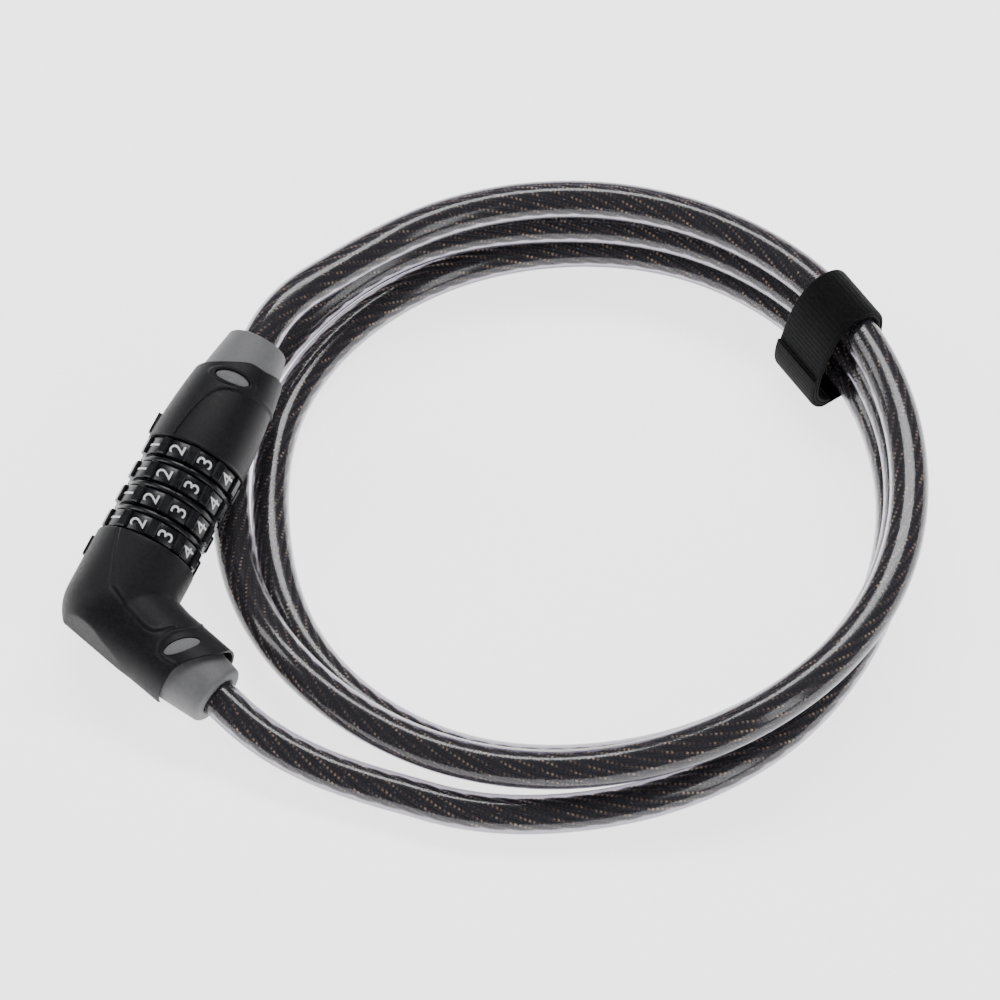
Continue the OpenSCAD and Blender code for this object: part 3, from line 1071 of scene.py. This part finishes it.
def index_bar(name, start, end, angle=-80):
    """A short raised bar along the side of a housing, on the line where the code is read."""
    work = bmesh.new()
    width, height = 2.6, 1.5
    bmesh.ops.create_cube(work, size=1,
                          matrix=Matrix.Translation((0, (start + end) / 2, BODY_R + 0.05))
                          @ Matrix.Diagonal((width, end - start, height, 1)))
    bmesh.ops.bevel(work, geom=work.edges[:], offset=0.35, segments=3, affect="EDGES", profile=0.6)
    bmesh.ops.rotate(work, verts=work.verts, cent=(0, 0, 0),
                     matrix=Matrix.Rotation(math.radians(angle), 3, "Y"))
    return joined([work], name)


seat(index_bar("elbow_index", -FACE_Y - 9.5, -FACE_Y - 3), "lock_body", "body_plastic", housing_black)
seat(index_bar("plug_index", FACE_Y + 2, FACE_Y + 9), "plug", "body_plastic", housing_black)


# %% [markdown]
# The strap is a black ribbed hook-and-loop band, wound a little over twice round the three
# strands. Its line is drawn in the plane that cuts the coil at the strap, as a distance from
# the coil's centre and a height, tight over the strands on the outside and slack on the inside.

# %% The strap's line
STRAP_W = 20 * MM
STRAP_T = 0.95 * MM
STRAP_LAYER = 1.12 * MM
LOOP = np.array([
    (-8.8, 33.6), (-6.4, 37.0), (-3.2, 39.2), (0.4, 39.7), (4.2, 37.8), (6.7, 33.4), (7.1, 27),
    (7.0, 20.4), (6.9, 13.6), (6.7, 7.2), (4.6, 2.3), (1, 0.75), (-4, 0.85), (-8.6, 1.7),
    (-12.2, 3.8), (-14.2, 7.6), (-14.6, 12.4), (-13.8, 18), (-12.4, 23.6), (-10.8, 29),
]) * MM
STRAP_TURNS = 2.2
STRAP_START = 13.2
STRAP_RADIUS = 102.4 * MM
STRAP_LOWEST = 0.6 * MM


def loop_point(k):
    """A place on the closed line, k being the row number, which may run on past the last row."""
    i = math.floor(k)
    return curve(*(LOOP[j % len(LOOP)] for j in range(i - 1, i + 3)), k - i)


def loop_outward(k):
    run = loop_point(k + 0.05) - loop_point(k - 0.05)
    out = np.array((-run[1], run[0]))
    return out / np.linalg.norm(out)


strap_points = []
for k in np.arange(STRAP_START, STRAP_START + STRAP_TURNS * len(LOOP), 0.2):
    wound = (k - STRAP_START) / len(LOOP)
    strap_points.append(loop_point(k) + loop_outward(k) * STRAP_LAYER * wound)
strap_points = np.array(strap_points)
strap_points[:, 1] += np.maximum(0, STRAP_LOWEST - strap_points[:, 1])
strap_turn = math.radians(STRAP_ANGLE)
OUT = np.array((math.cos(strap_turn), math.sin(strap_turn), 0))
ALONG = np.array((-math.sin(strap_turn), math.cos(strap_turn), 0))
STRAP_MIDDLE = np.array((*(COIL_CENTRE + STRAP_RADIUS * OUT[:2]), 0))


def strap_place(point, across):
    return STRAP_MIDDLE + OUT * point[0] + ALONG * across + np.array((0, 0, point[1]))


run = run_along(strap_points)
STRAP_LENGTH = run[-1]
print("strap", round(STRAP_LENGTH / MM), "mm long")

# %% The woven band
band_steps = int(STRAP_LENGTH / (0.55 * MM))
at = np.linspace(0, STRAP_LENGTH, band_steps)
centre = np.stack([np.interp(at, run, strap_points[:, k]) for k in range(2)], axis=1)
ahead = directions(centre)
outward = np.stack([-ahead[:, 1], ahead[:, 0]], axis=1)
RIB_HEIGHT = 0.11 * MM
RIB_PITCH = 1.7 * MM
ribs = RIB_HEIGHT * np.sin(at / RIB_PITCH * 2 * math.pi)
half = STRAP_T / 2
outer_side = [(-0.5, 0.0), (-0.492, 0.75), (-0.47, 1.0), (-0.2, 1.0), (0.2, 1.0), (0.47, 1.0),
              (0.492, 0.75)]
section = outer_side + [(-across, -depth) for across, depth in outer_side]
points, faces = [], []
for i in range(band_steps):
    for across, depth in section:
        reach = depth * (half + (ribs[i] if abs(depth) == 1.0 else 0))
        points.append(strap_place(centre[i] + outward[i] * reach, across * STRAP_W))
count = len(section)
for i in range(band_steps - 1):
    for k in range(count):
        n = (k + 1) % count
        faces.append((i * count + k, i * count + n, (i + 1) * count + n, (i + 1) * count + k))
faces.append(tuple(reversed(range(count))))
faces.append(tuple((band_steps - 1) * count + k for k in range(count)))
strap_band = mesh_object("strap_band", points, faces)
face_out(strap_band)

strap_black = mottled(material("black_hook_and_loop", (0.004, 0.004, 0.0045), 0.9,
                               Sheen_Weight=0.08, Specular_IOR_Level=0.12),
                      (0.002, 0.002, 0.0025), (0.007, 0.007, 0.008), 1100, bump=0.6, bump_scale=3500)
strap_band.data.materials.append(strap_black)


# %% [markdown]
# The soft side of the strap carries thousands of tiny loops. Geometry Nodes scatter one small
# thread over the band's outer face with a fixed seed, which gives it a dull, furry edge.

# %% The loop pile
def thread_mesh():
    points, faces = [], []
    for i, (x, z) in enumerate(((0, 0), (0.12, 0.28), (0.02, 0.5), (-0.14, 0.62))):
        for k in range(3):
            turn = k * 2 * math.pi / 3
            points.append(((x + 0.025 * math.cos(turn)) * MM, 0.025 * math.sin(turn) * MM, z * MM))
        if i:
            a, b = (i - 1) * 3, i * 3
            faces += [(a + k, a + (k + 1) % 3, b + (k + 1) % 3, b + k) for k in range(3)]
    return mesh_object("thread", points, faces)


def pile_tree(name):
    """Geometry Nodes: short threads scattered over a surface, standing along its normal."""
    tree, given = new_tree(name, Surface="Geometry", Thread="Object",
                           Threads_per_square_metre="Float", Seed="Int", Finish="Material")
    spread = node(tree, "GeometryNodeDistributePointsOnFaces", [
        ("Mesh", given["Surface"]), ("Density", given["Threads per square metre"]),
        ("Seed", given["Seed"])])
    thread = node(tree, "GeometryNodeObjectInfo", [("Object", given["Thread"])])
    chance = node(tree, "FunctionNodeRandomValue", data_type="FLOAT_VECTOR")
    chance.inputs["Min"].default_value = (-0.5, -0.5, 0)
    chance.inputs["Max"].default_value = (0.5, 0.5, 6.28)
    tree.links.new(given["Seed"], chance.inputs["Seed"])
    spin = node(tree, "FunctionNodeRotateRotation", [
        ("Rotation", spread.outputs["Rotation"]), ("Rotate By", chance.outputs["Value"])],
        rotation_space="LOCAL")
    copies = node(tree, "GeometryNodeInstanceOnPoints", [
        ("Points", spread.outputs["Points"]), ("Instance", thread.outputs["Geometry"]),
        ("Rotation", spin.outputs["Rotation"])])
    return painted(tree, copies.outputs[0], given["Finish"])


outer_from = int(band_steps * 0.5)
PILE_LIFT = 0.02 * MM
pile_points = []
for i in range(outer_from, band_steps - 2):
    for across in (-0.49, 0.49):
        pile_points.append(strap_place(centre[i] + outward[i] * (half + PILE_LIFT),
                                       across * STRAP_W))
rows = band_steps - 2 - outer_from
pile_faces = [(2 * i, 2 * i + 1, 2 * i + 3, 2 * i + 2) for i in range(rows - 1)]
strap_pile = mesh_object("strap_pile", pile_points, pile_faces)
one_thread = thread_mesh()
run_tree(strap_pile, pile_tree("loop_pile"), Thread=one_thread, Threads_per_square_metre=3.2e6,
         Seed=7, Finish=strap_black)
bpy.data.objects.remove(one_thread)
print("pile faces", len(strap_pile.data.polygons))

# %% The strap joins the frame
for piece in (strap_band, strap_pile):
    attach(piece, "lock_body")
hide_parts("strap")

# %% [markdown]
# The metal pieces inside keep their CAD shapes, and show when the plug is out: cast zinc, ground
# steel, blued springs and turned brass rings.

# %% Metals of the mechanism
cast_zinc = mottled(material("cast_zinc", (0.5, 0.5, 0.49), 0.45, metallic=1.0),
                    (0.42, 0.42, 0.41), (0.58, 0.58, 0.56), 700, bump=0.3, rough=(0.38, 0.55))
ground_steel = mottled(material("ground_steel", (0.6, 0.6, 0.6), 0.25, metallic=1.0),
                       (0.52, 0.52, 0.53), (0.66, 0.66, 0.66), 900, bump=0.1, rough=(0.2, 0.32))
blued_spring = mottled(material("spring_wire", (0.3, 0.3, 0.33), 0.3, metallic=1.0),
                       (0.24, 0.24, 0.27), (0.36, 0.36, 0.4), 900, rough=(0.25, 0.35))
turned_brass = mottled(material("turned_brass", (0.75, 0.55, 0.25), 0.3, metallic=1.0),
                       (0.66, 0.47, 0.2), (0.8, 0.62, 0.3), 800, bump=0.1, rough=(0.25, 0.38))
METALS = {
    cast_zinc: ("elbow_core", "plug_core", "barrel", "end_ring"),
    ground_steel: ("bolt", "elbow_pin", "plug_pin", "elbow_ferrule", "plug_ferrule", "detent_balls"),
    blued_spring: ("detent_springs", "ejector_spring"),
    turned_brass: ("code_ring_1", "code_ring_2", "code_ring_3", "code_ring_4"),
}
for paint, names in METALS.items():
    for name in names:
        for place in nodes[name].material_slots:
            place.material = paint
print("metal pieces", sum(len(names) for names in METALS.values()))

# %% [markdown]
# A pale table and three large soft lamps, as in a product studio. The table gives off light
# itself as well, so that it stays nearly white all round the lock.

# %% Floor, world and lamps
def lamp(name, place, size, power):
    data = bpy.data.lights.new(name, "AREA")
    data.shape = "RECTANGLE"
    data.size, data.size_y = size
    data.energy = power
    made = bpy.data.objects.new(name, data)
    made.location = place
    made.rotation_mode = "QUATERNION"
    made.rotation_quaternion = (camera_aim - Vector(place)).to_track_quat("-Z", "Y")
    bpy.context.scene.collection.objects.link(made)


FLOOR_HALF = 4
FLOOR_Z = -0.0003
floor = mesh_object("floor", [(x * FLOOR_HALF, y * FLOOR_HALF, FLOOR_Z)
                              for x, y in ((-1, -1), (1, -1), (1, 1), (-1, 1))],
                    [(0, 1, 2, 3)], smooth=False)
floor_paint = material("table_white", (0.9, 0.9, 0.9), 0.9, Emission_Color=(1, 1, 1, 1),
                       Emission_Strength=2.3)
floor.data.materials.append(floor_paint)

world = bpy.data.worlds.new("studio")
bpy.context.scene.world = world
world.use_nodes = True
world.node_tree.nodes["Background"].inputs["Color"].default_value = (0.95, 0.97, 1, 1)
world.node_tree.nodes["Background"].inputs["Strength"].default_value = 0.16
lamp("top_softbox", (-0.1, 0.75, 1.2), (1.2, 0.35), 16)
lamp("left_softbox", (-1.1, -0.2, 0.8), (0.35, 0.9), 6)
lamp("right_softbox", (1.1, -0.3, 0.6), (0.3, 0.9), 4)
